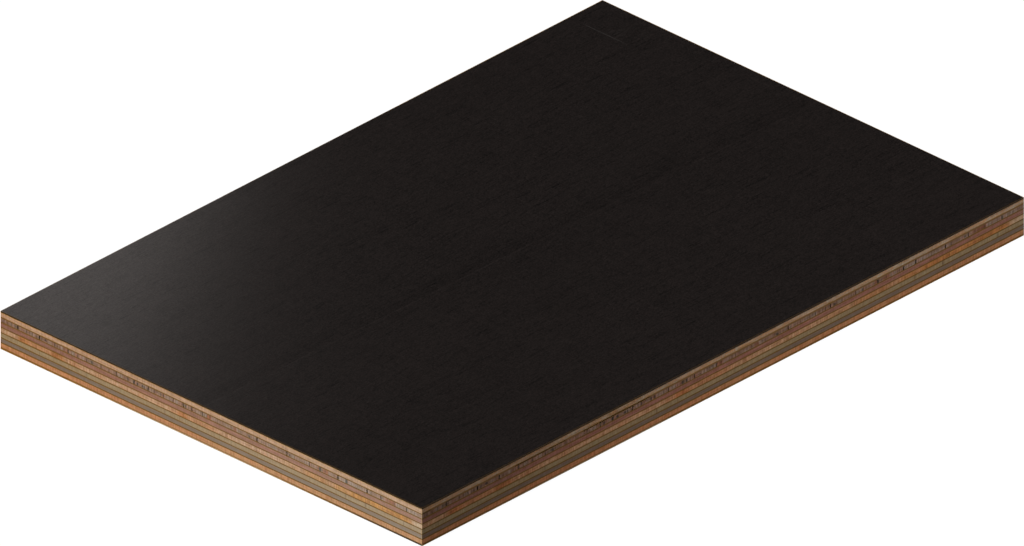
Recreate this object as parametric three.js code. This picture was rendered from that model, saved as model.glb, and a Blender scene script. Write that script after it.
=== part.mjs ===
// Film-faced plywood panel, sawn square on all four edges. Seven rotary-cut veneers are
// bonded with phenolic glue, each laid with its grain across the next, and a resin-soaked
// paper film is hot-pressed on both faces.
//
// Units are millimetres. The panel lies flat with +Z up: X runs along its length, Y along its
// width, and the origin is under the middle of its back face. Each layer is a slab of its own
// that meets the next one face to face.

import * as THREE from 'three';

// ---- Panel, as sawn ----
const panelLength = 300;
const panelWidth = 200;

// ---- Layers, from the top face down ----
const faceFilm = 0.25;
const faceFilmBond = 0.25;
const faceVeneer = 1.84;
const upperCrossband = 1.59;
const upperLongVeneer = 1.68;
const middleCrossband = 1.77;
const lowerLongVeneer = 1.73;
const lowerCrossband = 1.62;
const backVeneer = 1.77;
const backFilmBond = 0.3;
const backFilm = 0.4;

// Each of the six glue lines between two veneers.
const glueLine = 0.3;

// ---- Core gaps in the sawn edge of the upper crossband ----
// The crossband is laid up from narrow strips of veneer. Where two strips don't close, the saw
// opens a slot as tall as the veneer. A tight joint shows as a hairline, an open one is wide.
const tightGapWidth = 0.3;
const openGapWidth = 0.6;
const gapMouthToEnd = 0.6;
const gapDepth = 3;

// Strips along a long edge and along a short one: width of the strip, then the gap after it.
const longEdgeStrips = [
  [12.2, tightGapWidth], [15.5, openGapWidth], [10.9, openGapWidth], [9.3, tightGapWidth],
  [13.6, tightGapWidth], [27.5, openGapWidth], [16, tightGapWidth], [9.2, tightGapWidth],
  [8.6, openGapWidth], [13.1, tightGapWidth], [10.7, tightGapWidth], [35.9, openGapWidth],
  [13.5, tightGapWidth], [7.7, openGapWidth], [12.3, tightGapWidth], [11.2, tightGapWidth],
  [12.9, openGapWidth], [6, openGapWidth], [14.8, openGapWidth], [11.5, tightGapWidth],
  [16.6, tightGapWidth],
];
const shortEdgeStrips = [
  [8.3, tightGapWidth], [10.2, openGapWidth], [7.3, tightGapWidth], [6.2, tightGapWidth],
  [9, tightGapWidth], [14, tightGapWidth], [8.4, tightGapWidth], [6.7, tightGapWidth],
  [11.8, tightGapWidth], [4.8, openGapWidth], [4.1, openGapWidth], [5.1, tightGapWidth],
  [25.8, openGapWidth], [14.2, openGapWidth], [10.7, tightGapWidth], [13.5, openGapWidth],
  [13.8, openGapWidth], [6.6, tightGapWidth], [12, tightGapWidth],
];

// ---- Starved stretches of the top glue line on the front edge ----
// Where the crossband dips away from the face veneer, the glue doesn't reach the sawn edge.
const starvedDepth = 1.5;
const starvedTaper = 5;
const starvedStretches = [[46, 26], [80, 34]];

// One edge of the panel, walked anticlockwise seen from above: where it starts, which way it
// runs, which way the wood lies from it, and how long it is.
function sawnEdge(startX, startY, along, inward, length) {
  return { start: new THREE.Vector2(startX, startY), along, inward, length };
}

const halfLength = panelLength / 2;
const halfWidth = panelWidth / 2;
const east = new THREE.Vector2(1, 0);
const north = new THREE.Vector2(0, 1);
const west = new THREE.Vector2(-1, 0);
const south = new THREE.Vector2(0, -1);
const edges = {
  front: sawnEdge(-halfLength, -halfWidth, east, north, panelLength),
  right: sawnEdge(halfLength, -halfWidth, north, west, panelWidth),
  back: sawnEdge(halfLength, halfWidth, west, south, panelLength),
  left: sawnEdge(-halfLength, halfWidth, south, east, panelWidth),
};

// A point on an edge, given how far along it lies and how deep in the wood.
function edgePoint(edge, distance, depth) {
  return edge.start.clone()
    .addScaledVector(edge.along, distance)
    .addScaledVector(edge.inward, depth);
}

// Slots between the strips of one edge, which are laid again from the first until the edge is
// full. No slot comes so near a corner that it could meet one of the next edge.
function coreGaps(edge, strips) {
  const cornerMargin = 2 * gapDepth;
  const notches = [];
  let joint = 0;
  for (let laid = 0; joint < edge.length; laid += 1) {
    const [stripWidth, gapWidth] = strips[laid % strips.length];
    joint += stripWidth;
    if (joint < cornerMargin || joint > edge.length - cornerMargin) continue;
    const halfMouth = gapWidth / 2;
    notches.push({
      from: joint - halfMouth,
      to: joint + halfMouth,
      taper: halfMouth * (1 - gapMouthToEnd),
      depth: gapDepth,
    });
  }
  return notches;
}

// Places where the glue stays back from the edge, thinning out at both ends.
function starvedNotches(edge) {
  return starvedStretches
    .filter(([start, length]) => start + length < edge.length)
    .map(([start, length]) => ({
      from: start,
      to: start + length,
      taper: Math.min(starvedTaper, 0.4 * length),
      depth: starvedDepth,
    }));
}

// Outline of a layer: the sawn rectangle, with the notches of each edge cut into it.
function layerOutline(notchesOf) {
  const points = [];
  for (const [name, edge] of Object.entries(edges)) {
    points.push(edge.start);
    for (const { from, to, taper, depth } of notchesOf[name] ?? []) {
      points.push(edgePoint(edge, from, 0));
      points.push(edgePoint(edge, from + taper, depth));
      points.push(edgePoint(edge, to - taper, depth));
      points.push(edgePoint(edge, to, 0));
    }
  }
  return new THREE.Shape(points);
}

// A slab of that outline between two heights. Both heights are set on the vertices as they
// are, so that a layer's top and the next one's underside are the same plane.
function layerSlab(outline, underside, topside) {
  const slab = new THREE.ExtrudeGeometry(outline, { depth: 1, bevelEnabled: false });
  const vertices = slab.attributes.position;
  for (let i = 0; i < vertices.count; i += 1) {
    vertices.setZ(i, vertices.getZ(i) > 0.5 ? topside : underside);
  }
  slab.computeVertexNormals();
  return slab;
}

// ---- Finishes ----
function finish(color, roughness) {
  return new THREE.MeshStandardMaterial({ color, roughness, metalness: 0 });
}

const film = finish('#1d1a19', 0.42);
const glue = finish('#7c5935', 0.6);
const paleTan = finish('#b69377', 0.8);
const greyBrown = finish('#8a705d', 0.85);
const pinkBrown = finish('#966e5e', 0.85);
const goldenTan = finish('#b08660', 0.8);
const oliveBeige = finish('#9a876b', 0.85);
const slateBrown = finish('#847365', 0.85);
const orangeTan = finish('#b5845e', 0.8);

// ---- Lay-up ----
const plain = layerOutline({});
const gapped = layerOutline({
  front: coreGaps(edges.front, longEdgeStrips),
  right: coreGaps(edges.right, shortEdgeStrips.toReversed()),
  back: coreGaps(edges.back, longEdgeStrips.toReversed()),
  left: coreGaps(edges.left, shortEdgeStrips),
});
const starved = layerOutline({ front: starvedNotches(edges.front) });

// From the top face down.
const layers = [
  { name: 'face_film', thickness: faceFilm, outline: plain, material: film },
  { name: 'face_film_glue', thickness: faceFilmBond, outline: plain, material: glue },
  { name: 'veneer_1_face', thickness: faceVeneer, outline: plain, material: paleTan },
  { name: 'glue_line_1', thickness: glueLine, outline: starved, material: glue },
  { name: 'veneer_2_crossband', thickness: upperCrossband, outline: gapped, material: greyBrown },
  { name: 'glue_line_2', thickness: glueLine, outline: plain, material: glue },
  { name: 'veneer_3_long', thickness: upperLongVeneer, outline: plain, material: pinkBrown },
  { name: 'glue_line_3', thickness: glueLine, outline: plain, material: glue },
  { name: 'veneer_4_crossband', thickness: middleCrossband, outline: plain, material: goldenTan },
  { name: 'glue_line_4', thickness: glueLine, outline: plain, material: glue },
  { name: 'veneer_5_long', thickness: lowerLongVeneer, outline: plain, material: oliveBeige },
  { name: 'glue_line_5', thickness: glueLine, outline: plain, material: glue },
  { name: 'veneer_6_crossband', thickness: lowerCrossband, outline: plain, material: slateBrown },
  { name: 'glue_line_6', thickness: glueLine, outline: plain, material: glue },
  { name: 'veneer_7_back', thickness: backVeneer, outline: plain, material: orangeTan },
  { name: 'back_film_glue', thickness: backFilmBond, outline: plain, material: glue },
  { name: 'back_film', thickness: backFilm, outline: plain, material: film },
];

const panel = new THREE.Group();
let underside = 0;
for (const { name, thickness, outline, material } of layers.toReversed()) {
  const topside = underside + thickness;
  const layer = new THREE.Mesh(layerSlab(outline, underside, topside), material);
  layer.name = name;
  panel.add(layer);
  underside = topside;
}

export default panel;
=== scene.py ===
import bpy
import math
from mathutils import Matrix, Vector


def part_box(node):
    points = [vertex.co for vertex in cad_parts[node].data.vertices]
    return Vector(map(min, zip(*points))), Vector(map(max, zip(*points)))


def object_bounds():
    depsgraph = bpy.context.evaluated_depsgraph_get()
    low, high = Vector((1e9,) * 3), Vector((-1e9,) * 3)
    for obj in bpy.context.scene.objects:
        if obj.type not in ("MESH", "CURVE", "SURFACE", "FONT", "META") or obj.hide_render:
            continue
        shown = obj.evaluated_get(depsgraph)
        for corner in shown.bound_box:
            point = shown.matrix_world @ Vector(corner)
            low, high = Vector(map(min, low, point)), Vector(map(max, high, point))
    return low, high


# Film-faced plywood panel, lying flat. Seven rotary-cut veneers are bonded with phenolic glue and
# faced on both sides with a hot-pressed resin film, and all four edges are sawn square.
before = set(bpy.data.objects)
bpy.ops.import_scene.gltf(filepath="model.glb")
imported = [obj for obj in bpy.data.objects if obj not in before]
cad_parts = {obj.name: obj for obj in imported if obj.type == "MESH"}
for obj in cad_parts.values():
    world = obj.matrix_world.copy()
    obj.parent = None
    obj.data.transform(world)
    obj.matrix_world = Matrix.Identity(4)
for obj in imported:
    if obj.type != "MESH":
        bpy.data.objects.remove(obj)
cad_low, cad_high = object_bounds()

# ---------------------------------------------------------------------------------------------
# Back veneer. A sheet of orange-tan hardwood peeled from the log, with its grain along the
# panel. It is bonded under the lower crossband, and the saw leaves its end grain in fine lines.
# ---------------------------------------------------------------------------------------------
mm_per_m = 1000.0
half_length = mm_per_m * cad_high.x
half_width = mm_per_m * cad_high.y
panel_top = mm_per_m * cad_high.z


def feed(tree, made, inputs):
    """Gives a node its inputs, by name or number: values, or sockets to link."""
    for key, value in (inputs or {}).items():
        if isinstance(value, bpy.types.NodeSocket):
            tree.links.new(value, made.inputs[key])
        else:
            made.inputs[key].default_value = value


def node(tree, kind, inputs=None, **settings):
    made = tree.nodes.new(kind)
    for field, value in settings.items():
        setattr(made, field, value)
    feed(tree, made, inputs)
    return made


def math_of(tree, operation, *values, clamp=False):
    made = node(tree, "ShaderNodeMath", dict(enumerate(values)), operation=operation, use_clamp=clamp)
    return made.outputs[0]


def product(tree, *values):
    result = values[0]
    for value in values[1:]:
        result = math_of(tree, "MULTIPLY", result, value)
    return result


def opposite(tree, value):
    return math_of(tree, "SUBTRACT", 1.0, value)


def vary(tree, base, noise, amount):
    """A base value that noise raises and lowers, by up to half the amount each way."""
    return math_of(tree, "MULTIPLY_ADD", math_of(tree, "SUBTRACT", noise, 0.5), amount, base)


def by_edge(tree, short, on_short, on_long):
    """One value where short is 1, on the short edges, and another on the long ones."""
    gap = math_of(tree, "SUBTRACT", on_short, on_long)
    return math_of(tree, "MULTIPLY_ADD", short, gap, on_long)


def fade(tree, value, start, end, low=0.0, high=1.0):
    """Runs smoothly from low to high while value runs from start to end."""
    inputs = {"Value": value, "From Min": start, "From Max": end, "To Min": low, "To Max": high}
    return node(tree, "ShaderNodeMapRange", inputs, interpolation_type="SMOOTHSTEP").outputs[0]


def mix_colors(tree, factor, under, over, blend="MIX"):
    made = node(tree, "ShaderNodeMix", {0: factor, 6: under, 7: over}, data_type="RGBA", blend_type=blend)
    return made.outputs[2]


def grain_noise(tree, place, size, seed=0.0, detail=2.0, roughness=0.5):
    """Noise whose blotches are about size (x, y, z) millimetres, from 0 to 1."""
    inputs = {"Vector": place, "Location": (seed, 1.7 * seed, 0.6 * seed), "Scale": [1 / s for s in size]}
    placed = node(tree, "ShaderNodeMapping", inputs).outputs[0]
    inputs = {"Vector": placed, "Scale": 1.0, "Detail": detail, "Roughness": roughness}
    return node(tree, "ShaderNodeTexNoise", inputs).outputs[0]


def shader_group(name, inputs, outputs):
    """An empty node group with those sockets. Gives its tree, its inputs and its outputs."""
    tree = bpy.data.node_groups.new(name, "ShaderNodeTree")
    for label, (kind, value) in inputs.items():
        socket = tree.interface.new_socket(label, in_out="INPUT", socket_type=kind)
        socket.default_value = value
    for label, kind in outputs.items():
        tree.interface.new_socket(label, in_out="OUTPUT", socket_type=kind)
    given = tree.nodes.new("NodeGroupInput").outputs
    result = tree.nodes.new("NodeGroupOutput").inputs
    return tree, given, result


def use(tree, group, inputs=None):
    """Adds a shader group to a tree. Gives its outputs."""
    made = tree.nodes.new("ShaderNodeGroup")
    made.node_tree = group
    feed(tree, made, inputs)
    return made.outputs


def place_in_mm(tree):
    """Where a point of the panel lies, in millimetres, and the three coordinates of that place."""
    metres = node(tree, "ShaderNodeTexCoord").outputs["Object"]
    inputs = {0: metres, "Scale": mm_per_m}
    spot = node(tree, "ShaderNodeVectorMath", inputs, operation="SCALE").outputs[0]
    return spot, node(tree, "ShaderNodeSeparateXYZ", {0: spot}).outputs


def inset(tree, half, coordinate):
    """How far a point lies in from the nearer of two opposite edges."""
    return math_of(tree, "SUBTRACT", half, math_of(tree, "ABSOLUTE", coordinate))


NUMBER = "NodeSocketFloat"
VECTOR = "NodeSocketVector"
COLOR = "NodeSocketColor"

# Where a point of a sawn face lies, in millimetres: Run is the way along the edge, stretched on
# the short edges to the long one's 300, Height is above the floor, Depth is how far in from the
# saw cut, Arris is the distance from the upright corner, and Short is 1 on the short edges.
# Place is made for noise, which it sets apart from one edge to the next.
sawn_place, _, out = shader_group(
    "sawn place", {},
    {
        "Run": NUMBER, "Height": NUMBER, "Place": VECTOR, "Short": NUMBER, "Arris": NUMBER,
        "Depth": NUMBER,
    },
)
tree = sawn_place
_, xyz = place_in_mm(tree)
from_end = inset(tree, half_length, xyz[0])
from_side = inset(tree, half_width, xyz[1])
short = math_of(tree, "LESS_THAN", from_end, from_side)
run_long = math_of(tree, "ADD", xyz[0], half_length)
from_left = math_of(tree, "SUBTRACT", half_width, xyz[1])
run_short = math_of(tree, "MULTIPLY", from_left, half_length / half_width)
run = by_edge(tree, short, run_short, run_long)
side_step = 0.6
short_apart = 30.0
side_long = math_of(tree, "MULTIPLY", xyz[1], side_step)
side_short = math_of(tree, "MULTIPLY_ADD", xyz[0], side_step, short_apart)
side = by_edge(tree, short, side_short, side_long)
tree.links.new(run, out["Run"])
tree.links.new(xyz[2], out["Height"])
place = node(tree, "ShaderNodeCombineXYZ", {0: run, 1: side, 2: xyz[2]}).outputs[0]
tree.links.new(place, out["Place"])
tree.links.new(short, out["Short"])
tree.links.new(math_of(tree, "MAXIMUM", from_end, from_side), out["Arris"])
tree.links.new(math_of(tree, "MINIMUM", from_end, from_side), out["Depth"])

# What the saw leaves in a veneer: upright lines and hairlines, mottling, and streaks along the
# edge. Tone is a colour near white that is redder where it is darker, Relief goes to a Bump, and
# Patch drifts slowly between the veneer's two shades.
sawn_wood, given, out = shader_group(
    "sawn wood",
    {
        "Place": (VECTOR, (0, 0, 0)), "Seed": (NUMBER, 0.0), "Lines": (NUMBER, 0.5),
        "Hairs": (NUMBER, 0.4), "Mottle": (NUMBER, 0.4), "Streaks": (NUMBER, 0.1),
    },
    {"Tone": COLOR, "Relief": NUMBER, "Patch": NUMBER},
)
tree = sawn_wood
apart = node(tree, "ShaderNodeCombineXYZ", {1: math_of(tree, "MULTIPLY", given["Seed"], 37.0)})
inputs = {0: given["Place"], 1: apart.outputs[0]}
place = node(tree, "ShaderNodeVectorMath", inputs, operation="ADD").outputs[0]
lines = grain_noise(tree, place, (8, 1, 60), seed=1, detail=5, roughness=0.95)
hairs = grain_noise(tree, place, (0.55, 1, 4), seed=11, detail=0)
mottle = grain_noise(tree, place, (3.0, 1, 1.1), seed=4, detail=3, roughness=0.9)
streaks = grain_noise(tree, place, (9, 1, 0.28), seed=5, detail=2)
tone = 1.0
for noise, amount in ((lines, "Lines"), (hairs, "Hairs"), (mottle, "Mottle"), (streaks, "Streaks")):
    tone = vary(tree, tone, noise, given[amount])
darkest = 0.3
tone = math_of(tree, "MAXIMUM", tone, darkest)
warmth = grain_noise(tree, place, (0.9, 1, 1.4), seed=15, detail=1)
channels = {}
for channel, (power, lean) in enumerate(((1.0, 0.15), (1.2, -0.15), (1.5, -0.22))):
    deepened = math_of(tree, "POWER", tone, power)
    channels[channel] = math_of(tree, "MULTIPLY", deepened, vary(tree, 1.0, warmth, lean))
tree.links.new(node(tree, "ShaderNodeCombineColor", channels).outputs[0], out["Tone"])
relief = math_of(tree, "MULTIPLY_ADD", mottle, 0.5, math_of(tree, "MULTIPLY", hairs, 0.5))
tree.links.new(relief, out["Relief"])
tree.links.new(grain_noise(tree, place, (14, 1, 5), seed=7, detail=1), out["Patch"])

# What any layer gets on its sawn face: a pale dusting that doubles as a painted sheen, thicker towards
# the front corner of the short edges, and a painted highlight down the upright corner on its short side,
# with a painted dark line beside it on its long one. A gap is painted dark as shade where the saw didn't
# reach, and pale where Packed fills it with sawdust, which also lifts the shade in the gap.
dust_and_painted_light, given, out = shader_group(
    "dust_and_painted_light",
    {
        "Color": (COLOR, (0.4, 0.3, 0.2, 1)), "Run": (NUMBER, 0.0), "Short": (NUMBER, 0.0),
        "Arris": (NUMBER, 9.0), "Depth": (NUMBER, 0.0), "Dust And Sheen": (NUMBER, 1.0),
        "Packed": (NUMBER, 0.0),
    },
    {"Color": COLOR},
)
tree = dust_and_painted_light
# A pale dusting along the run, most on the short edges, that also paints in a sheen.
along = math_of(tree, "DIVIDE", given["Run"], 2 * half_length)
most = math_of(tree, "MULTIPLY_ADD", given["Short"], 0.095, 0.03)
dust_and_sheen = product(tree, along, most, given["Dust And Sheen"])
dust_and_sheen_color = mix_colors(tree, dust_and_sheen, given["Color"], (0.78, 0.72, 0.58, 1))
# A painted highlight on the short side of each upright corner, and a painted dark line on its long side.
on_arris = fade(tree, given["Arris"], 0.25, 0.08)
arris_share = 0.5
pale_edge = product(tree, on_arris, given["Short"], arris_share)
arris_highlighted = mix_colors(tree, pale_edge, dust_and_sheen_color, (0.60, 0.38, 0.15, 1))
arris_shade = product(tree, on_arris, opposite(tree, given["Short"]), arris_share)
arris_shaded = mix_colors(tree, arris_shade, arris_highlighted, (0.03, 0.02, 0.012, 1))
# Recesses are painted dark as their shade, a quarter less on the short edges.
in_gap = fade(tree, given["Depth"], 0.04, 0.25)
gap_shade = math_of(tree, "MULTIPLY", in_gap, math_of(tree, "MULTIPLY_ADD", given["Short"], -0.25, 1.0))
gap_shaded = mix_colors(tree, gap_shade, arris_shaded, (0.012, 0.009, 0.007, 1))
# Where Packed fills a gap, it is painted pale as sawdust, which also lifts the gap's shade.
packed = math_of(tree, "MULTIPLY", in_gap, given["Packed"])
tree.links.new(mix_colors(tree, packed, gap_shaded, (0.52, 0.38, 0.26, 1)), out["Color"])

# Resin that has soaked into a veneer from its two faces, Low and High, and dyed it ochre-brown. A
# glue line wanders, so where it reaches further into one veneer it keeps out of the next.
resin_soak, given, out = shader_group(
    "resin soak",
    {
        "Color": (COLOR, (0.4, 0.3, 0.2, 1)), "Place": (VECTOR, (0, 0, 0)), "Height": (NUMBER, 0.0),
        "Low": (NUMBER, 0.0), "High": (NUMBER, 2.0),
    },
    {"Color": COLOR},
)
tree = resin_soak
reach = grain_noise(tree, given["Place"], (2.5, 1, 1.5), seed=17, detail=3, roughness=0.7)
reach = math_of(tree, "MULTIPLY_ADD", reach, 0.26, 0.06)
wander = grain_noise(tree, given["Place"], (22, 1, 2.0), seed=27, detail=2)
wander = math_of(tree, "MULTIPLY_ADD", wander, 0.4, -0.2)
from_high = math_of(tree, "SUBTRACT", given["High"], given["Height"])
from_low = math_of(tree, "SUBTRACT", given["Height"], given["Low"])
soaked_high = fade(tree, from_high, math_of(tree, "SUBTRACT", reach, wander), 0.0)
soaked_low = fade(tree, from_low, math_of(tree, "ADD", reach, wander), 0.0)
soaked = math_of(tree, "MULTIPLY", math_of(tree, "MAXIMUM", soaked_high, soaked_low), 0.9)
tree.links.new(mix_colors(tree, soaked, given["Color"], (0.160, 0.073, 0.003, 1)), out["Color"])


def empty_tree(owner):
    """The node tree of a material or a world, with nothing in it."""
    owner.use_nodes = True
    owner.node_tree.nodes.clear()
    return owner.node_tree


def new_material(name):
    """A new material, its tree and its Principled shader."""
    made = bpy.data.materials.new(name)
    tree = empty_tree(made)
    shader = tree.nodes.new("ShaderNodeBsdfPrincipled")
    surface = tree.nodes.new("ShaderNodeOutputMaterial")
    tree.links.new(shader.outputs[0], surface.inputs["Surface"])
    return made, tree, shader


def wood_material(name):
    """A new matt wood material, its tree, its place on the sawn face and its shader."""
    made, tree, shader = new_material(name)
    shader.inputs["Specular IOR Level"].default_value = 0.15
    return made, tree, use(tree, sawn_place), shader


def saw_marks(tree, at, seed, lines, hairs, mottle, streaks):
    """The saw's marks on a veneer, as strong as those numbers, in a pattern that seed picks."""
    inputs = {"Place": at["Place"], "Seed": seed, "Lines": lines, "Hairs": hairs}
    inputs.update({"Mottle": mottle, "Streaks": streaks})
    return use(tree, sawn_wood, inputs)


def finish_wood(tree, at, shader, color, relief, rough, depth, dust_and_sheen=1.0, packed=0.0):
    """Gives a layer its colour under a dusting with a painted sheen, its roughness, and a relief depth
    metres deep.
    """
    inputs = {"Color": color, "Run": at["Run"], "Short": at["Short"], "Arris": at["Arris"]}
    inputs.update({"Depth": at["Depth"], "Dust And Sheen": dust_and_sheen, "Packed": packed})
    bump = node(tree, "ShaderNodeBump", {"Height": relief, "Strength": 0.5, "Distance": depth})
    finish = {"Base Color": use(tree, dust_and_painted_light, inputs)["Color"], "Normal": bump.outputs[0]}
    finish["Roughness"] = math_of(tree, "MULTIPLY_ADD", relief, -0.12, rough)
    feed(tree, shader, finish)


def veneer_color(tree, at, color, sawn, name, turned, lift=0.0):
    """A veneer's colour with the saw's marks, tinted by turned on the long edges, and with resin
    soaked in. Lift raises its lower face."""
    tinted = mix_colors(tree, 1.0, color, (*turned, 1), blend="MULTIPLY")
    color = mix_colors(tree, at["Short"], tinted, color)
    color = mix_colors(tree, 1.0, color, sawn["Tone"], blend="MULTIPLY")
    low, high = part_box(name)
    inputs = {"Color": color, "Place": at["Place"], "Height": at["Height"], "High": mm_per_m * high.z}
    inputs["Low"] = math_of(tree, "ADD", mm_per_m * low.z, lift)
    return use(tree, resin_soak, inputs)["Color"]


def dress(material, *names):
    """Gives a CAD layer, or several, its finish."""
    for name in names:
        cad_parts[name].material_slots[0].material = material


back_veneer, tree, at, shader = wood_material("orange tan wood")
sawn = saw_marks(tree, at, seed=7.0, lines=0.14, hairs=0.60, mottle=0.50, streaks=0.55)
paler = fade(tree, at["Run"], 140.0, 158.0)
paler = math_of(tree, "MULTIPLY", paler, math_of(tree, "MULTIPLY_ADD", at["Short"], 0.45, 0.55))
color = mix_colors(tree, paler, (0.402, 0.177, 0.076, 1), (0.418, 0.208, 0.091, 1))
flecks = grain_noise(tree, at["Place"], (1.6, 1, 2.2), seed=71, detail=3, roughness=0.8)
color = mix_colors(tree, fade(tree, flecks, 0.46, 0.68, 0.0, 0.50), color, (0.410, 0.150, 0.052, 1))
color = veneer_color(tree, at, color, sawn, "veneer_7_back", (1.12, 1.02, 1.00))
finish_wood(tree, at, shader, color, sawn["Relief"], 0.82, 0.00004, dust_and_sheen=0.5)
dress(back_veneer, "veneer_7_back")

# ---------------------------------------------------------------------------------------------
# Lower crossband. A grey slate-brown veneer laid across the panel and glued between the back
# veneer and the lower long veneer. It is even in colour, with faint streaks along the edge.
# ---------------------------------------------------------------------------------------------
lower_crossband, tree, at, shader = wood_material("slate brown wood")
sawn = saw_marks(tree, at, seed=6.0, lines=0.12, hairs=0.20, mottle=0.28, streaks=0.60)
color = mix_colors(tree, sawn["Patch"], (0.176, 0.121, 0.087, 1), (0.159, 0.113, 0.082, 1))
color = veneer_color(tree, at, color, sawn, "veneer_6_crossband", (1.02, 0.97, 0.98))
finish_wood(tree, at, shader, color, sawn["Relief"], 0.85, 0.00003)
dress(lower_crossband, "veneer_6_crossband")

# ---------------------------------------------------------------------------------------------
# Lower long veneer. An olive-beige veneer with its grain along the panel, smooth where sawn,
# with a few brown hairlines where the peeling knife checked it.
# ---------------------------------------------------------------------------------------------


def away_from(tree, value, middle):
    return math_of(tree, "ABSOLUTE", math_of(tree, "SUBTRACT", value, middle))


# A mark on the sawn edge at a given run, as wide and as tall as it says. So Far is the mask of the
# marks before it, and the larger of the two counts, so marks are strung one after another.
edge_mark, given, out = shader_group(
    "edge mark",
    {
        "Run": (NUMBER, 0.0), "Height": (NUMBER, 0.0), "So Far": (NUMBER, 0.0), "At": (NUMBER, 0.0),
        "Half Width": (NUMBER, 1.0), "Softness": (NUMBER, 0.3), "Middle": (NUMBER, 7.5),
        "Half Height": (NUMBER, 20.0), "Strength": (NUMBER, 1.0),
    },
    {"Mask": NUMBER},
)
tree = edge_mark
upright_softness = 0.25
away = away_from(tree, given["Run"], given["At"])
inside = math_of(tree, "SUBTRACT", given["Half Width"], away)
beside = math_of(tree, "DIVIDE", inside, given["Softness"], clamp=True)
off = away_from(tree, given["Height"], given["Middle"])
inside = math_of(tree, "SUBTRACT", given["Half Height"], off)
within = math_of(tree, "DIVIDE", inside, upright_softness, clamp=True)
mark = product(tree, beside, within, given["Strength"])
tree.links.new(math_of(tree, "MAXIMUM", given["So Far"], mark), out["Mask"])


def string_marks(tree, run, height, marks):
    """Strings marks into one mask. A mark is (at, half width, softness, strength), and then
    (middle, half height) where it isn't as tall as its layer."""
    mask = 0.0
    for position, half, softness, strength, *upright in marks:
        inputs = {"Run": run, "Height": height, "So Far": mask, "At": position}
        inputs.update({"Half Width": half, "Softness": softness, "Strength": strength})
        if upright:
            inputs.update({"Middle": upright[0], "Half Height": upright[1]})
        mask = use(tree, edge_mark, inputs)["Mask"]
    return mask


lower_long, tree, at, shader = wood_material("olive beige wood")
sawn = saw_marks(tree, at, seed=5.0, lines=0.13, hairs=0.40, mottle=0.35, streaks=0.50)
color = mix_colors(tree, sawn["Patch"], (0.262, 0.185, 0.101, 1), (0.262, 0.176, 0.090, 1))
checks = [
    (8, 0.5, 0.3, 0.2), (54, 0.4, 0.3, 0.2), (61.4, 0.5, 0.3, 0.4), (117, 0.5, 0.3, 0.55),
    (156, 0.4, 0.3, 0.2), (245.7, 0.5, 0.3, 0.6), (259.6, 0.6, 0.3, 0.7), (286.9, 0.5, 0.3, 0.55),
]
hairlines = string_marks(tree, at["Run"], at["Height"], checks)
color = mix_colors(tree, hairlines, color, (0.120, 0.068, 0.036, 1))
color = veneer_color(tree, at, color, sawn, "veneer_5_long", (1.01, 1.00, 0.97))
finish_wood(tree, at, shader, color, sawn["Relief"], 0.82, 0.00003)
dress(lower_long, "veneer_5_long")

# ---------------------------------------------------------------------------------------------
# Middle crossband. The heart of the panel: a pale tan veneer laid across it, with orange
# heartwood showing in blotches where the saw crosses it, and upright grain all along.
# ---------------------------------------------------------------------------------------------
middle_crossband, tree, at, shader = wood_material("golden tan wood")
sawn = saw_marks(tree, at, seed=4.0, lines=0.16, hairs=0.75, mottle=0.70, streaks=0.90)
ragged = grain_noise(tree, at["Place"], (3.0, 1, 1.2), seed=3, detail=3, roughness=0.7)
ragged = math_of(tree, "MULTIPLY_ADD", ragged, 6.0, -3.0)
frayed_run = math_of(tree, "ADD", at["Run"], ragged)
blotchy = grain_noise(tree, at["Place"], (2.0, 1, 1.0), seed=13, detail=3, roughness=0.8)
blotchy = fade(tree, blotchy, 0.36, 0.62, 0.74, 1.08)
heartwood = [
    (28, 16.0, 5.0, 0.66), (17, 5.5, 2.5, 1.0), (41.5, 5.5, 2.5, 1.0), (53, 6.0, 3.0, 0.36),
    (71, 7.0, 4.0, 0.30), (86, 3.0, 2.0, 0.15), (100, 3.5, 2.0, 0.40), (138, 20.0, 7.0, 0.60),
    (130, 5.5, 2.5, 1.0), (157, 10.0, 5.0, 0.12),
]
orange = string_marks(tree, frayed_run, at["Height"], heartwood)
orange = math_of(tree, "MULTIPLY", orange, blotchy, clamp=True)
golden_stretches = [
    (206, 8.0, 4.0, 0.28), (224, 12.0, 6.0, 0.55), (243, 8.0, 5.0, 0.75), (264, 20.0, 6.0, 0.95),
    (284, 10.0, 4.0, 1.0),
]
golden = string_marks(tree, frayed_run, at["Height"], golden_stretches)
paler_on_short = math_of(tree, "MULTIPLY_ADD", at["Short"], -0.3, 1.2)
golden = math_of(tree, "MULTIPLY", golden, paler_on_short)
golden = math_of(tree, "MULTIPLY", golden, blotchy, clamp=True)
brown_spots = [
    (16, 2.5, 2.0, 0.25), (38.5, 3.5, 2.0, 0.60), (53, 1.2, 0.8, 0.40), (130.5, 1.6, 0.9, 0.7),
    (161, 0.9, 0.5, 0.4), (212, 2.5, 1.5, 0.22), (229, 2.0, 1.5, 0.35), (235.5, 2.5, 1.5, 0.22),
    (261, 1.5, 1.0, 0.30), (279, 1.6, 1.0, 0.45),
]
brown = string_marks(tree, frayed_run, at["Height"], brown_spots)
pale_spots = [(297, 4.5, 3.5, 0.36), (299.5, 2.5, 2.0, 0.30)]
pale = string_marks(tree, at["Run"], at["Height"], pale_spots)
color = mix_colors(tree, sawn["Patch"], (0.422, 0.256, 0.152, 1), (0.410, 0.235, 0.131, 1))
amber = mix_colors(tree, at["Short"], (0.330, 0.120, 0.042, 1), (0.335, 0.130, 0.042, 1))
greyer_stretch = string_marks(tree, at["Run"], at["Height"], [(188, 40.0, 16.0, 0.5)])
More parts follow.
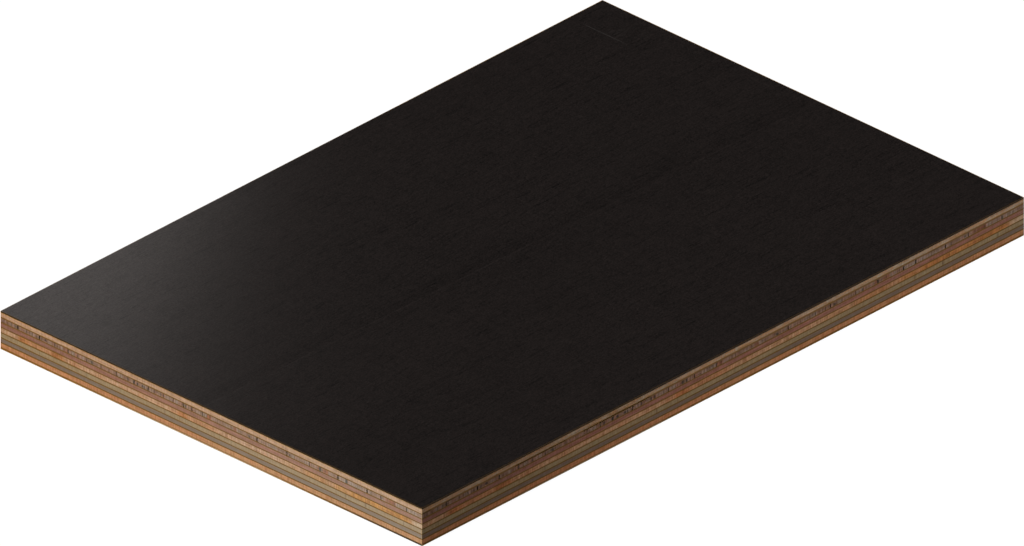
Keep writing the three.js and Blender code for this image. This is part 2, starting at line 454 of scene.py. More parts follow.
greyer_stretch = math_of(tree, "MULTIPLY", greyer_stretch, at["Short"])
color = mix_colors(tree, greyer_stretch, color, (0.425, 0.272, 0.178, 1))
color = mix_colors(tree, orange, color, amber)
gold = mix_colors(tree, at["Short"], (0.362, 0.150, 0.041, 1), (0.392, 0.164, 0.018, 1))
color = mix_colors(tree, golden, color, gold)
flecks = grain_noise(tree, at["Place"], (1.3, 1, 2.0), seed=72, detail=3, roughness=0.8)
color = mix_colors(tree, fade(tree, flecks, 0.46, 0.68, 0.0, 0.36), color, (0.380, 0.170, 0.072, 1))
color = mix_colors(tree, brown, color, (0.240, 0.085, 0.022, 1))
color = mix_colors(tree, pale, color, (0.42, 0.38, 0.27, 1))
color = veneer_color(tree, at, color, sawn, "veneer_4_crossband", (1.03, 0.93, 0.86))
finish_wood(tree, at, shader, color, sawn["Relief"], 0.80, 0.00005, dust_and_sheen=0.6)
dress(middle_crossband, "veneer_4_crossband")

# ---------------------------------------------------------------------------------------------
# Upper long veneer. A smooth pink-brown veneer with its grain along the panel, faintly mottled
# where the saw rubbed it.
# ---------------------------------------------------------------------------------------------
upper_long, tree, at, shader = wood_material("pink brown wood")
sawn = saw_marks(tree, at, seed=3.0, lines=0.14, hairs=0.35, mottle=0.65, streaks=1.10)
color = mix_colors(tree, sawn["Patch"], (0.243, 0.110, 0.071, 1), (0.251, 0.103, 0.066, 1))
smears = [
    (25, 45.0, 28.0, 0.24), (44, 3.0, 2.0, 0.45, 9.8, 0.35), (91, 3.2, 2.0, 0.4, 9.9, 0.35),
    (298, 4.0, 2.0, 0.35, 9.4, 0.3),
]
smeared = string_marks(tree, at["Run"], at["Height"], smears)
color = mix_colors(tree, smeared, color, (0.12, 0.07, 0.055, 1))
color = veneer_color(tree, at, color, sawn, "veneer_3_long", (1.03, 0.95, 1.01))
finish_wood(tree, at, shader, color, sawn["Relief"], 0.84, 0.00003)
dress(upper_long, "veneer_3_long")

# ---------------------------------------------------------------------------------------------
# Upper crossband. It is laid up across the panel from narrow strips of mixed grey, brown and
# reddish veneer, glued edge to edge, with core gaps left open where two strips don't close.
# ---------------------------------------------------------------------------------------------


def strips(tree, run, to_the_mm, **settings):
    """Strips of mixed width along a run, that many to the millimetre on average."""
    inputs = {"W": run, "Scale": to_the_mm}
    return node(tree, "ShaderNodeTexVoronoi", inputs, voronoi_dimensions="1D", **settings).outputs


upper_crossband, tree, at, shader = wood_material("grey brown wood")
sawn = saw_marks(tree, at, seed=2.0, lines=0.08, hairs=0.95, mottle=0.80, streaks=1.00)
sway = grain_noise(tree, at["Place"], (2.0, 1, 1.0), seed=8, detail=1)
swayed_run = vary(tree, at["Run"], sway, 0.9)
wide = strips(tree, swayed_run, 0.30)["Color"]
narrow = strips(tree, swayed_run, 1.8)["Color"]
to_joint = strips(tree, swayed_run, 0.62, feature="DISTANCE_TO_EDGE")["Distance"]
wide_mix = node(tree, "ShaderNodeSeparateColor", {0: wide}).outputs
narrow_mix = node(tree, "ShaderNodeSeparateColor", {0: narrow}).outputs
greyer = math_of(tree, "MULTIPLY_ADD", at["Run"], 0.0014, math_of(tree, "SUBTRACT", wide_mix[0], 0.21))
greyer = fade(tree, greyer, 0.35, 0.75)
color = mix_colors(tree, greyer, (0.214, 0.119, 0.078, 1), (0.232, 0.155, 0.114, 1))
salmon = fade(tree, narrow_mix[1], 0.70, 0.90, 0.0, 0.45)
color = mix_colors(tree, salmon, color, (0.300, 0.128, 0.080, 1))
shade = math_of(tree, "MULTIPLY_ADD", wide_mix[1], 0.08, fade(tree, at["Run"], 20.0, 75.0, 0.83, 0.89))
shade = math_of(tree, "MULTIPLY_ADD", narrow_mix[0], 0.12, shade)
color = mix_colors(tree, 1.0, color, shade, blend="MULTIPLY")
tight = grain_noise(tree, at["Place"], (3.5, 1, 1.4), seed=12, detail=2)
at_joint = fade(tree, to_joint, 0.17, 0.05)
joints = math_of(tree, "MULTIPLY", at_joint, fade(tree, tight, 0.36, 0.60, 0.1, 0.45))
color = mix_colors(tree, joints, color, (0.060, 0.034, 0.022, 1))
reddish_strips = [
    (46.5, 2.0, 0.6, 0.45), (54, 1.2, 0.5, 0.3), (109.4, 0.8, 0.3, 0.5), (116, 1.0, 0.3, 0.6),
    (148.3, 1.8, 0.5, 0.85), (167, 1.1, 0.4, 0.6), (226.5, 1.1, 0.3, 0.75), (231.5, 2.2, 0.7, 0.75),
    (266.5, 0.9, 0.3, 0.3), (275.2, 1.6, 0.5, 0.7), (278.8, 2.6, 0.6, 0.95),
]
reddish = string_marks(tree, swayed_run, at["Height"], reddish_strips)
rust = mix_colors(tree, at["Short"], (0.195, 0.066, 0.028, 1), (0.215, 0.054, 0.014, 1))
color = mix_colors(tree, reddish, color, rust)
# Small voids in the core are painted near black as their shade, less where sawdust packs them.
shaded_pockets = [
    (2.0, 0.9, 0.4, 0.35, 11.5, 0.8), (12.2, 0.5, 0.3, 0.75, 11.5, 1.0), (18.6, 0.7, 0.3, 0.2, 11.6, 0.9),
    (29.5, 0.5, 0.3, 0.5, 11.5, 1.0), (31.9, 0.8, 0.3, 0.85, 11.7, 0.6), (48.1, 0.6, 0.3, 0.6, 11.5, 0.9),
    (55.2, 0.6, 0.3, 0.6, 11.5, 0.8), (65.1, 0.7, 0.3, 0.75, 11.4, 0.8), (82.2, 0.6, 0.3, 0.35, 12.0, 0.5),
    (90.6, 0.7, 0.3, 0.75, 11.5, 1.0), (95, 0.7, 0.3, 1.0, 11.4, 0.9), (97.4, 0.7, 0.3, 0.9, 11.4, 0.7),
    (101, 0.8, 0.4, 0.8, 11.5, 0.6), (102.3, 0.5, 0.3, 0.8, 11.3, 0.8), (105, 0.5, 0.3, 0.75, 11.5, 1.0),
    (109.4, 0.6, 0.3, 0.75, 11.6, 1.0), (111.7, 0.7, 0.3, 0.5, 12.0, 0.5), (114, 0.5, 0.3, 0.55, 11.5, 1.0),
    (116, 0.6, 0.3, 0.8, 11.5, 1.0), (120.5, 0.4, 0.2, 0.5, 11.5, 1.0), (123, 0.4, 0.3, 0.4, 11.5, 1.0),
    (130, 0.7, 0.3, 0.75, 11.5, 0.9), (131.9, 0.5, 0.3, 0.8, 11.4, 0.8), (135.9, 0.5, 0.3, 0.5, 11.5, 1.0),
    (144.4, 0.6, 0.3, 0.6, 12.1, 0.5), (146.8, 0.5, 0.3, 0.5, 11.5, 1.0), (149.2, 0.5, 0.3, 0.4, 11.5, 1.0),
    (177, 0.7, 0.3, 0.7, 11.3, 0.6), (205.6, 0.8, 0.3, 0.7, 11.4, 0.6), (219.7, 0.7, 0.3, 0.6, 11.3, 0.8),
    (227.2, 0.6, 0.3, 0.8, 11.5, 1.0), (246.2, 0.5, 0.3, 0.7, 11.5, 1.0), (263.8, 0.5, 0.3, 0.45, 11.5, 1.0),
    (270.6, 0.7, 0.3, 0.5, 11.6, 0.6), (280.4, 0.5, 0.3, 0.45, 11.5, 1.0), (289.2, 0.5, 0.3, 0.6, 11.5, 0.9),
    (294.5, 0.8, 0.4, 0.3, 11.4, 0.7),
]
dark = string_marks(tree, swayed_run, at["Height"], shaded_pockets)
# Gaps that sawdust fills on the long edges and on the short ones, and how full each is.
full_on_long = [(38.6, 0.45), (89.0, 0.6), (122.8, 0.8)]
full_on_short = [
    (27.7, 0.45), (61.5, 1.0), (82.5, 1.0), (130, 1.0), (136.2, 1.0), (143.9, 1.0), (203.8, 1.0),
    (219.9, 1.0), (260.9, 0.4),
]
packed_long = [(position, 1.2, 0.3, full) for position, full in full_on_long]
packed_long = string_marks(tree, at["Run"], at["Height"], packed_long)
packed_short = [(position, 1.5, 0.3, full) for position, full in full_on_short]
packed_short = string_marks(tree, at["Run"], at["Height"], packed_short)
packed = by_edge(tree, at["Short"], packed_short, packed_long)
dark = math_of(tree, "MULTIPLY", dark, opposite(tree, packed))
# Two deeper voids on the short edges are painted near black as their shade too.
deep_shaded_pockets = [(227.4, 1.0, 0.4, 1.0, 11.5, 1.0), (246.2, 1.0, 0.4, 1.0, 11.5, 1.0)]
deep = string_marks(tree, at["Run"], at["Height"], deep_shaded_pockets)
dark = math_of(tree, "MAXIMUM", dark, math_of(tree, "MULTIPLY", deep, at["Short"]))
color = mix_colors(tree, dark, color, (0.032, 0.023, 0.018, 1))
color = veneer_color(tree, at, color, sawn, "veneer_2_crossband", (0.95, 0.90, 0.90))
finish_wood(tree, at, shader, color, sawn["Relief"], 0.86, 0.00006, packed=packed)
dress(upper_crossband, "veneer_2_crossband")

# ---------------------------------------------------------------------------------------------
# Face veneer. The palest sheet, with its grain along the panel and fine upright lines of end
# grain on the short edges. The face film is pressed on top of it.
# ---------------------------------------------------------------------------------------------
face_veneer, tree, at, shader = wood_material("pale tan wood")
hairs = math_of(tree, "MULTIPLY_ADD", at["Short"], 0.30, 0.30)
sawn = saw_marks(tree, at, seed=1.0, lines=0.32, hairs=hairs, mottle=0.75, streaks=0.90)
color = mix_colors(tree, sawn["Patch"], (0.388, 0.231, 0.136, 1), (0.388, 0.213, 0.116, 1))
# On the long edges, pale patches and streaks are a painted sheen.
sheen_patches = [
    (28, 9.0, 5.0, 0.15, 13.3, 0.8), (72, 14.0, 8.0, 0.15, 13.6, 0.8), (115, 9.0, 5.0, 0.12, 13.9, 0.6),
    (196, 14.0, 8.0, 0.20, 13.6, 0.8), (222, 9.0, 6.0, 0.15, 13.4, 0.8), (246, 14.0, 6.0, 0.30, 13.5, 0.8),
]
painted_sheen = string_marks(tree, at["Run"], at["Height"], sheen_patches)
on_long = opposite(tree, at["Short"])
streaked = grain_noise(tree, at["Place"], (4.5, 1, 0.9), seed=41, detail=4, roughness=0.85)
painted_sheen = math_of(tree, "ADD", painted_sheen, fade(tree, streaked, 0.46, 0.68, 0.0, 0.9), clamp=True)
painted_sheen = math_of(tree, "MULTIPLY", painted_sheen, on_long)
glowing = grain_noise(tree, at["Place"], (8.0, 1, 1.4), seed=43, detail=4, roughness=0.85)
glowing = math_of(tree, "MULTIPLY", fade(tree, glowing, 0.42, 0.62, 0.0, 0.9), on_long)
color = mix_colors(tree, glowing, color, (0.435, 0.208, 0.075, 1))
color = mix_colors(tree, painted_sheen, color, (0.405, 0.330, 0.235, 1))
film_and_bond = 0.5
veneer_top = panel_top - film_and_bond
near_film = fade(tree, at["Height"], veneer_top - 0.6, veneer_top - 0.1)
near_film = product(tree, near_film, at["Short"], fade(tree, at["Run"], 50.0, 300.0, 0.6, 0.8))
color = mix_colors(tree, near_film, color, (0.375, 0.195, 0.060, 1))
# Near-black painted shade where the glue line under the veneer opens on the long edges.
lens_shade_marks = [
    (2.5, 3.5, 1.5, 0.8, 12.72, 0.25), (61, 11.0, 5.0, 0.55, 12.74, 0.24),
    (98, 14.0, 6.0, 0.65, 12.74, 0.24), (98.5, 5.0, 2.5, 1.0, 12.95, 0.26),
]
lens_shade = string_marks(tree, at["Run"], at["Height"], lens_shade_marks)
color = mix_colors(tree, math_of(tree, "MULTIPLY", lens_shade, on_long), color, (0.020, 0.013, 0.010, 1))
smoky = string_marks(tree, at["Run"], at["Height"], [(62, 80.0, 50.0, 0.20)])
smoky = math_of(tree, "MULTIPLY", smoky, on_long)
color = mix_colors(tree, smoky, color, (0.19, 0.095, 0.035, 1))
lift = math_of(tree, "MULTIPLY", on_long, 0.24)
color = veneer_color(tree, at, color, sawn, "veneer_1_face", (0.90, 0.895, 0.915), lift=lift)
# Resin from the film greys the top of the long edges, most of all past their middle.
greying = fade(tree, at["Run"], 250.0, 165.0, 0.4, 1.0)
starting = fade(tree, at["Run"], 103.0, 112.0, 0.0, 0.45)
at_top = fade(tree, at["Height"], veneer_top - 0.35, veneer_top - 0.1)
greyed = product(tree, greying, starting, at_top, on_long)
color = mix_colors(tree, greyed, color, (0.040, 0.032, 0.026, 1))
finish_wood(tree, at, shader, color, sawn["Relief"], 0.80, 0.00004)
dress(face_veneer, "veneer_1_face")

# ---------------------------------------------------------------------------------------------
# Glue lines. Phenolic resin squeezed between the veneers and cured in the hot press, which dyes
# the wood beside it dark brown. The top line runs short of glue where the crossband dips, and the
# shade in those gaps is painted near black.
# ---------------------------------------------------------------------------------------------
glue_line, tree, at, shader = wood_material("phenolic glue line")
beads = grain_noise(tree, at["Place"], (1.6, 1, 0.5), seed=21, detail=3)
slow = grain_noise(tree, at["Place"], (18, 1, 3), seed=23, detail=2)
color = mix_colors(tree, fade(tree, beads, 0.35, 0.65), (0.120, 0.053, 0.001, 1), (0.160, 0.074, 0.001, 1))
color = mix_colors(tree, fade(tree, slow, 0.55, 0.7, 0.0, 0.4), color, (0.070, 0.030, 0.001, 1))
on_long = opposite(tree, at["Short"])
line_low, line_high = 12.36, 12.66
low_in_line = fade(tree, at["Height"], line_high - 0.06, line_high - 0.18)
in_top_line = math_of(tree, "GREATER_THAN", at["Height"], line_low - 0.06)
bare = product(tree, low_in_line, on_long, in_top_line, 0.85)
color = mix_colors(tree, bare, color, (0.180, 0.095, 0.055, 1))
# Near-black painted shade where the top line is short of glue, on the long edges.
starved_shade_spots = [
    (2.2, 2.5, 1.0, 0.75, 12.5, 0.4), (14, 3.0, 1.5, 0.75, 12.5, 0.4), (61, 12.0, 4.0, 0.5, 12.5, 0.4),
    (98, 14.0, 5.0, 1.0, 12.5, 0.4), (255, 3.0, 1.5, 0.6, 12.5, 0.4),
]
starved_shade = string_marks(tree, at["Run"], at["Height"], starved_shade_spots)
starved_shade = math_of(tree, "MULTIPLY", starved_shade, on_long)
color = mix_colors(tree, starved_shade, color, (0.022, 0.014, 0.010, 1))
finish_wood(tree, at, shader, color, beads, 0.70, 0.00005, dust_and_sheen=0.0)
dress(glue_line, *[f"glue_line_{number}" for number in range(1, 7)])

# ---------------------------------------------------------------------------------------------
# Film bonds. The resin that bled from each film into its veneer in the press, ochre-brown where
# the saw shows it, and paler under the panel.
# ---------------------------------------------------------------------------------------------
# How the saw left the films along an edge: Chipped is where wood shows pale beside the back film,
# Clean is where that film is whole and dark, Rusty is where resin dyed it, and Thick is where the
# face film's bond is as dark as the film.
film_edge, given, out = shader_group(
    "film edge", {"Run": (NUMBER, 0.0), "Short": (NUMBER, 0.0)},
    {"Chipped": NUMBER, "Clean": NUMBER, "Rusty": NUMBER, "Thick": NUMBER},
)
tree = film_edge
run = given["Run"]
chipped_short = math_of(tree, "MULTIPLY", fade(tree, run, 45.0, 120.0), fade(tree, run, 240.0, 175.0))
chipped_long = math_of(tree, "MULTIPLY", fade(tree, run, 15.0, 70.0), fade(tree, run, 122.0, 117.0))
tree.links.new(by_edge(tree, given["Short"], chipped_short, chipped_long), out["Chipped"])
clean = math_of(tree, "MULTIPLY", fade(tree, run, 195.0, 295.0), given["Short"])
tree.links.new(clean, out["Clean"])
rusty_short = fade(tree, run, 60.0, 10.0)
rusty_long = fade(tree, run, 150.0, 270.0)
tree.links.new(by_edge(tree, given["Short"], rusty_short, rusty_long), out["Rusty"])
thick = math_of(tree, "MULTIPLY", fade(tree, run, 103.0, 112.0), opposite(tree, given["Short"]))
tree.links.new(thick, out["Thick"])

film_bond, tree, at, shader = wood_material("film bond")
along = use(tree, film_edge, {"Run": at["Run"], "Short": at["Short"]})
beads = fade(tree, grain_noise(tree, at["Place"], (2.2, 1, 0.5), seed=31, detail=3), 0.35, 0.65)
face_bond = mix_colors(tree, beads, (0.042, 0.020, 0.001, 1), (0.074, 0.035, 0.002, 1))
grey_bond = mix_colors(tree, beads, (0.030, 0.019, 0.006, 1), (0.055, 0.032, 0.012, 1))
face_bond = mix_colors(tree, at["Short"], grey_bond, face_bond)
dark_bond = mix_colors(tree, beads, (0.010, 0.008, 0.007, 1), (0.026, 0.019, 0.015, 1))
face_bond = mix_colors(tree, along["Thick"], face_bond, dark_bond)
back_bond = mix_colors(tree, beads, (0.130, 0.058, 0.004, 1), (0.200, 0.094, 0.008, 1))
chipped = math_of(tree, "MULTIPLY", along["Chipped"], 0.45)
back_bond = mix_colors(tree, chipped, back_bond, (0.300, 0.180, 0.080, 1))
clean = math_of(tree, "MULTIPLY", along["Clean"], 0.6)
back_bond = mix_colors(tree, clean, back_bond, (0.060, 0.040, 0.022, 1))
low_down = math_of(tree, "LESS_THAN", at["Height"], panel_top / 2)
color = mix_colors(tree, low_down, face_bond, back_bond)
finish_wood(tree, at, shader, color, beads, 0.70, 0.00004, dust_and_sheen=0.0)
dress(film_bond, "face_film_glue", "back_film_glue")

# ---------------------------------------------------------------------------------------------
# Films. Paper soaked in dark phenolic resin, hot-pressed on both faces against a satin caul. The
# veneer's grain prints through, two sheets meet in a faint seam, and the arris is rubbed ochre.
# ---------------------------------------------------------------------------------------------
# The face of a film, from the grain, checks and seams under it and the marks on it. Tone is a
# multiplier near 1, Gloss is how much it shines, Relief goes to a Bump, and Scuff shows where the
# resin is scratched. Rim is the rubbed border, Worn is where the right and back borders are rubbed
# through, and Face is 1 on the face and 0 on the sawn edge.
film_face, _, out = shader_group(
    "film face", {},
    {
        "Tone": NUMBER, "Gloss": NUMBER, "Relief": NUMBER, "Scuff": NUMBER, "Rim": NUMBER,
        "Worn": NUMBER, "Face": NUMBER,
    },
)
tree = film_face
spot, xyz = place_in_mm(tree)
drift = grain_noise(tree, spot, (60, 25, 40), seed=2, detail=2)
bent_y = vary(tree, xyz[1], drift, 1.5)
bent = node(tree, "ShaderNodeCombineXYZ", {0: xyz[0], 1: bent_y, 2: xyz[2]}).outputs[0]
fine = grain_noise(tree, bent, (3.6, 0.42, 40), seed=4, detail=2, roughness=0.6)
medium = grain_noise(tree, bent, (9.0, 1.1, 40), seed=6, detail=2)
dashes = fade(tree, grain_noise(tree, bent, (13.0, 0.42, 40), seed=9, detail=1), 0.54, 0.76)
bands = grain_noise(tree, bent, (110, 4.0, 40), seed=12, detail=3)
clouds = grain_noise(tree, spot, (11, 8, 40), seed=14, detail=3)
broad = grain_noise(tree, spot, (70, 40, 40), seed=15, detail=2)
across = grain_noise(tree, spot, (1.6, 22, 40), seed=16, detail=2)
grit = grain_noise(tree, spot, (0.85, 0.32, 40), seed=24, detail=1, roughness=0.7)
tone = 1.0
for noise, amount in (
    (fine, 1.00), (grit, 2.75), (medium, 0.18), (bands, 0.19), (clouds, 0.15), (broad, 0.17),
    (across, 0.34),
):
    tone = vary(tree, tone, noise, amount)
tone = math_of(tree, "MULTIPLY_ADD", dashes, -0.52, tone)

# The seam runs along the panel, at a slight slant. A shade fades away behind it, and the edge of
# the sheet in front catches the light in places.
seam_y = math_of(tree, "MULTIPLY_ADD", xyz[0], -0.0192, 0.87)
behind = math_of(tree, "SUBTRACT", xyz[1], seam_y)
shaded = math_of(tree, "MULTIPLY", fade(tree, behind, -0.3, 0.2), fade(tree, behind, 11.0, 1.0))
tone = math_of(tree, "MULTIPLY_ADD", shaded, -0.10, tone)
broken = fade(tree, grain_noise(tree, spot, (9, 3, 40), seed=18, detail=3), 0.38, 0.56)
lip = product(tree, fade(tree, behind, -1.1, -0.5), fade(tree, behind, 0.1, -0.3), broken)
tone = math_of(tree, "MULTIPLY_ADD", lip, 0.28, tone)

# A small dark knot near the front right corner, and pale specks all over.
knot_x, knot_y = 132.8, -92.2
near_x = away_from(tree, xyz[0], knot_x)
near_y = away_from(tree, xyz[1], knot_y)
knot = math_of(tree, "MULTIPLY", fade(tree, near_x, 2.8, 1.8), fade(tree, near_y, 0.55, 0.2))
tone = math_of(tree, "MULTIPLY_ADD", knot, -0.5, tone)
cells = node(tree, "ShaderNodeTexVoronoi", {"Vector": spot, "Scale": 0.14}, voronoi_dimensions="3D")
pick = node(tree, "ShaderNodeSeparateColor", {0: cells.outputs["Color"]}).outputs[0]
specks = fade(tree, cells.outputs["Distance"], 0.055, 0.02)
specks = math_of(tree, "MULTIPLY", specks, fade(tree, pick, 0.5, 0.6))
tone = math_of(tree, "MULTIPLY_ADD", specks, 0.6, tone)

# Near the back right corner, a fine scratch that skips in places, with a rub beside it.
scratch_x, scratch_y = 133.3, 83.2
off_x = away_from(tree, xyz[0], scratch_x)
off_y = away_from(tree, xyz[1], scratch_y)
skips = fade(tree, grain_noise(tree, spot, (2, 1.6, 40), seed=19, detail=1), 0.22, 0.48)
scratch = product(tree, fade(tree, off_x, 0.22, 0.08), fade(tree, off_y, 12.0, 6.0), skips)
rub_place = (137.5, 80.3, panel_top)
inputs = {0: spot, 1: rub_place}
rub_distance = node(tree, "ShaderNodeVectorMath", inputs, operation="DISTANCE").outputs["Value"]
rub = math_of(tree, "MULTIPLY", fade(tree, rub_distance, 3.8, 1.0), fade(tree, fine, 0.45, 0.65))
scuff = math_of(tree, "MAXIMUM", scratch, math_of(tree, "MULTIPLY", rub, 0.40), clamp=True)
face_skin = 0.015
height_up = math_of(tree, "GREATER_THAN", xyz[2], panel_top - face_skin)
height_down = math_of(tree, "LESS_THAN", xyz[2], face_skin)
face = math_of(tree, "MAXIMUM", height_up, height_down)
scuff = math_of(tree, "MULTIPLY", scuff, height_up)

# The border of the face, which handling has rubbed and frayed.
border = math_of(tree, "MINIMUM", inset(tree, half_length, xyz[0]), inset(tree, half_width, xyz[1]))
frayed = grain_noise(tree, spot, (1.2, 1.2, 40), seed=26, detail=3)
border = math_of(tree, "MULTIPLY_ADD", frayed, 0.30, math_of(tree, "SUBTRACT", border, 0.15))
rim = fade(tree, border, 0.30, 0.14)
tree.links.new(tone, out["Tone"])
gloss = math_of(tree, "MULTIPLY_ADD", tone, 0.62, 0.38)
gloss = math_of(tree, "MULTIPLY_ADD", shaded, -0.10, gloss)
tree.links.new(math_of(tree, "MAXIMUM", gloss, 0.2), out["Gloss"])
relief = math_of(tree, "MULTIPLY_ADD", dashes, -0.6, math_of(tree, "MULTIPLY", fine, 0.5))
relief = math_of(tree, "MULTIPLY_ADD", medium, 0.8, relief)
tree.links.new(math_of(tree, "MULTIPLY_ADD", lip, 0.8, relief), out["Relief"])
tree.links.new(scuff, out["Scuff"])
tree.links.new(rim, out["Rim"])
border_width = 1.0
worn_end = math_of(tree, "GREATER_THAN", xyz[0], half_length - border_width)
worn_end = math_of(tree, "MULTIPLY", worn_end, fade(tree, xyz[1], -100.0, 60.0, 0.6, 1.0))
worn_side = math_of(tree, "GREATER_THAN", xyz[1], half_width - border_width)
worn_side = math_of(tree, "MULTIPLY", worn_side, fade(tree, xyz[0], 40.0, 50.0, 0.33, 1.0))
pale_edge = math_of(tree, "MULTIPLY", rim, math_of(tree, "MAXIMUM", worn_end, worn_side))
tree.links.new(pale_edge, out["Worn"])
tree.links.new(face, out["Face"])

film, tree, shader = new_material("resin film")
shader.inputs["IOR"].default_value = 1.5
shader.inputs["Specular IOR Level"].default_value = 0.25
shader.inputs["Coat Roughness"].default_value = 0.29
shader.inputs["Coat IOR"].default_value = 1.5
at = use(tree, sawn_place)
print_through = use(tree, film_face)
color = mix_colors(tree, 1.0, (0.0083, 0.0059, 0.0053, 1), print_through["Tone"], blend="MULTIPLY")
color = mix_colors(tree, print_through["Scuff"], color, (0.0225, 0.0195, 0.018, 1))
color = mix_colors(tree, print_through["Rim"], color, (0.042, 0.020, 0.004, 1))
color = mix_colors(tree, print_through["Worn"], color, (0.220, 0.132, 0.052, 1))
crumbs = grain_noise(tree, at["Place"], (2.4, 1, 0.4), seed=41, detail=3)
broken_edge = fade(tree, crumbs, 0.38, 0.62)
face_edge = mix_colors(tree, broken_edge, (0.010, 0.006, 0.002, 1), (0.020, 0.012, 0.003, 1))
back_edge = mix_colors(tree, broken_edge, (0.200, 0.088, 0.012, 1), (0.340, 0.170, 0.036, 1))
along = use(tree, film_edge, {"Run": at["Run"], "Short": at["Short"]})
rusty = math_of(tree, "MULTIPLY", along["Rusty"], 0.6)
back_edge = mix_colors(tree, rusty, back_edge, (0.260, 0.095, 0.004, 1))
chipped = math_of(tree, "MULTIPLY", along["Chipped"], 0.65)
back_edge = mix_colors(tree, chipped, back_edge, (0.480, 0.330, 0.180, 1))
clean = math_of(tree, "MULTIPLY", along["Clean"], 0.9)
back_edge = mix_colors(tree, clean, back_edge, (0.018, 0.013, 0.010, 1))
low_down = math_of(tree, "LESS_THAN", at["Height"], panel_top / 2)
sawn_film = mix_colors(tree, low_down, face_edge, back_edge)
color = mix_colors(tree, print_through["Face"], sawn_film, color)
matt = math_of(tree, "MULTIPLY_ADD", print_through["Face"], -0.36, 0.65)
rough = math_of(tree, "MULTIPLY_ADD", print_through["Relief"], 0.02, matt)
rough = math_of(tree, "MULTIPLY_ADD", print_through["Scuff"], 0.2, rough)
polish = product(tree, print_through["Face"], print_through["Gloss"], 0.5)
inputs = {"Height": print_through["Relief"], "Strength": 0.25, "Distance": 0.00002}
bump = node(tree, "ShaderNodeBump", inputs)
finish = {"Base Color": color, "Roughness": rough, "Coat Weight": polish, "Normal": bump.outputs[0]}
feed(tree, shader, finish)
dress(film, "face_film", "back_film")

# ---------------------------------------------------------------------------------------------
# Floor. A plain pale studio floor that the panel lies on. It isn't part of the object.
# ---------------------------------------------------------------------------------------------
floor_half = 3.0
floor_drop = 0.00005
floor_mesh = bpy.data.meshes.new("studio floor")
corners = [
    (-floor_half, -floor_half, 0), (floor_half, -floor_half, 0), (floor_half, floor_half, 0),
    (-floor_half, floor_half, 0),
]
floor_mesh.from_pydata(corners, [], [(0, 1, 2, 3)])


def add_object(name, data):
    """Puts a mesh, a light or a camera in the scene."""
    made = bpy.data.objects.new(name, data)
    bpy.context.scene.collection.objects.link(made)
    return made


def by_camera_ray(tree, unseen, seen):
    """One shader that the camera sees, and another that lights the panel."""
    watched = node(tree, "ShaderNodeLightPath").outputs["Is Camera Ray"]
    return node(tree, "ShaderNodeMixShader", {0: watched, 1: unseen, 2: seen}).outputs[0]


studio_floor = add_object("studio_floor", floor_mesh)
studio_floor.location.z = -floor_drop
floor_paint = bpy.data.materials.new("studio floor paint")
tree = empty_tree(floor_paint)
lit = node(tree, "ShaderNodeBsdfDiffuse", {"Color": (0.12, 0.12, 0.12, 1)}).outputs[0]
glow = node(tree, "ShaderNodeEmission", {"Color": (1, 1, 1, 1), "Strength": 0.90}).outputs[0]
seen = node(tree, "ShaderNodeAddShader", {0: lit, 1: glow}).outputs[0]
thrown_back = node(tree, "ShaderNodeBsdfDiffuse", {"Color": (0.27, 0.27, 0.27, 1)}).outputs[0]
mixed = by_camera_ray(tree, thrown_back, seen)
tree.links.new(mixed, tree.nodes.new("ShaderNodeOutputMaterial").inputs["Surface"])
floor_mesh.materials.append(floor_paint)

# ---------------------------------------------------------------------------------------------
# Studio light. A broad soft light from the left, a low softbox that brightens the front edge
# towards its right end, and a softbox beyond the back edge that lays a sheen on the film's left
# end. Two weak level fills light the right and back edges.
# ---------------------------------------------------------------------------------------------


def aim(thing, place, target):
    """Puts a light at a place, shining towards a target."""
    thing.location = place
    thing.rotation_euler = (Vector(target) - Vector(place)).to_track_quat("-Z", "Y").to_euler()


def sun(name, direction, spread, energy):
    """A light from far away in that direction, spread over that many degrees."""
    lamp = bpy.data.lights.new(name, "SUN")
    lamp.angle = math.radians(spread)
    lamp.energy = energy
    aim(add_object(name, lamp), direction, (0, 0, 0))


def softbox(name, width, height, energy, color=(1, 1, 1)):
    """A rectangular light that the camera doesn't see."""
    lamp = bpy.data.lights.new(name, "AREA")
    lamp.shape = "RECTANGLE"
    lamp.size = width
    lamp.size_y = height
    lamp.energy = energy
    lamp.color = color
    box = add_object(name, lamp)
    box.visible_camera = False
    return box


sun("broad_left_light", (-0.63, 0.0, 0.777), 35, 4.55)
fill_rise = 0.02
sun("right_fill", (1, 0, fill_rise), 5, 0.9)
sun("back_fill", (0, 1, fill_rise), 5, 0.9)

low_box = softbox("low_right_softbox", 0.30, 0.04, 0.0652)
low_box_x = 0.0793
aim(low_box, (low_box_x, -0.1966, 0.06), (low_box_x, -0.1, 0.0075))

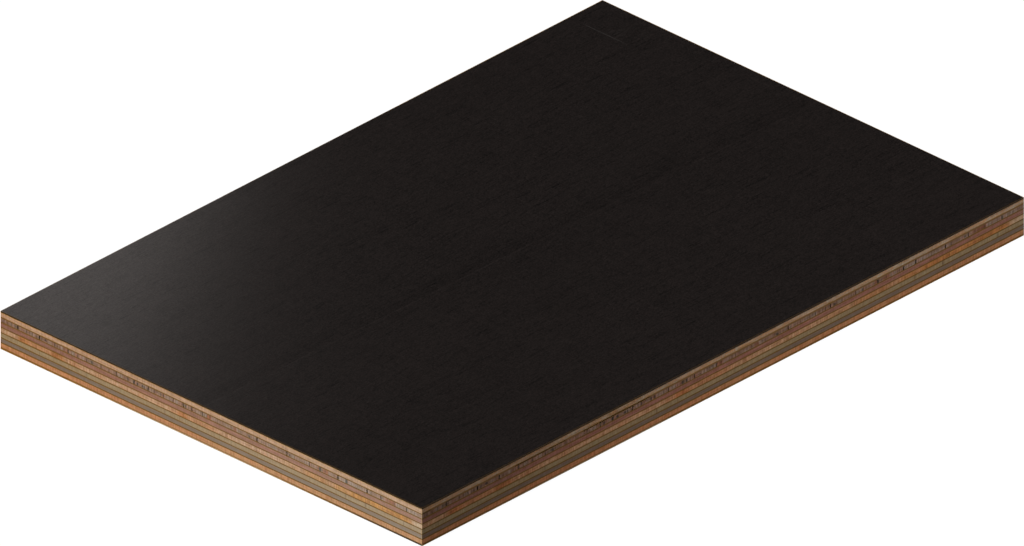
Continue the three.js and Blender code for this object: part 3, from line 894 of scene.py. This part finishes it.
# The sheen softbox faces a spot near the left corner of the film, and is rolled about that line.
sheen_width = 0.0806
sheen_height = 0.2012
sheen_energy = 0.88 * math.pi * sheen_width * sheen_height
sheen_box = softbox("sheen_softbox", sheen_width, sheen_height, sheen_energy, (1.0, 0.935, 0.905))
sheen_place = Vector((0.1169, 0.3299, 0.1676))
sheen_target = Vector((-0.10, 0.06, 0.015))
sheen_roll = -0.4388
ahead = (sheen_target - sheen_place).normalized()
sideways = ahead.cross(Vector((0, 0, 1))).normalized()
upward = sideways.cross(ahead)
right = math.cos(sheen_roll) * sideways + math.sin(sheen_roll) * upward
over = -math.sin(sheen_roll) * sideways + math.cos(sheen_roll) * upward
facing = Matrix((right, over, -ahead)).transposed().to_4x4()
sheen_box.matrix_world = Matrix.Translation(sheen_place) @ facing

world = bpy.data.worlds.new("studio")
tree = empty_tree(world)
dim = node(tree, "ShaderNodeBackground", {"Color": (1, 1, 1, 1), "Strength": 0.03}).outputs[0]
pale = node(tree, "ShaderNodeBackground", {"Color": (1, 1, 1, 1), "Strength": 1.0}).outputs[0]
mixed = by_camera_ray(tree, dim, pale)
tree.links.new(mixed, tree.nodes.new("ShaderNodeOutputWorld").inputs["Surface"])
bpy.context.scene.world = world
bpy.context.scene.view_settings.view_transform = "Standard"

# ---------------------------------------------------------------------------------------------
# Camera. A parallel view from above the front left corner.
# ---------------------------------------------------------------------------------------------
lens = bpy.data.cameras.new("studio camera")
lens.type = "ORTHO"
lens.ortho_scale = 0.35189
camera = add_object("studio_camera", lens)
turned = math.radians(-46.41)
raised = math.radians(29.455)
camera_distance = 1.2
shift_left = 0.00008
shift_up = 0.00002
camera.rotation_euler = (math.pi / 2 - raised, 0, turned)
middle = (cad_low + cad_high) / 2
level = math.cos(raised)
outward = Vector((math.sin(turned) * level, -math.cos(turned) * level, math.sin(raised)))
screen_right = Vector((math.cos(turned), math.sin(turned), 0))
screen_up = outward.cross(screen_right)
camera.location = middle + camera_distance * outward - shift_left * screen_right + shift_up * screen_up
bpy.context.scene.camera = camera
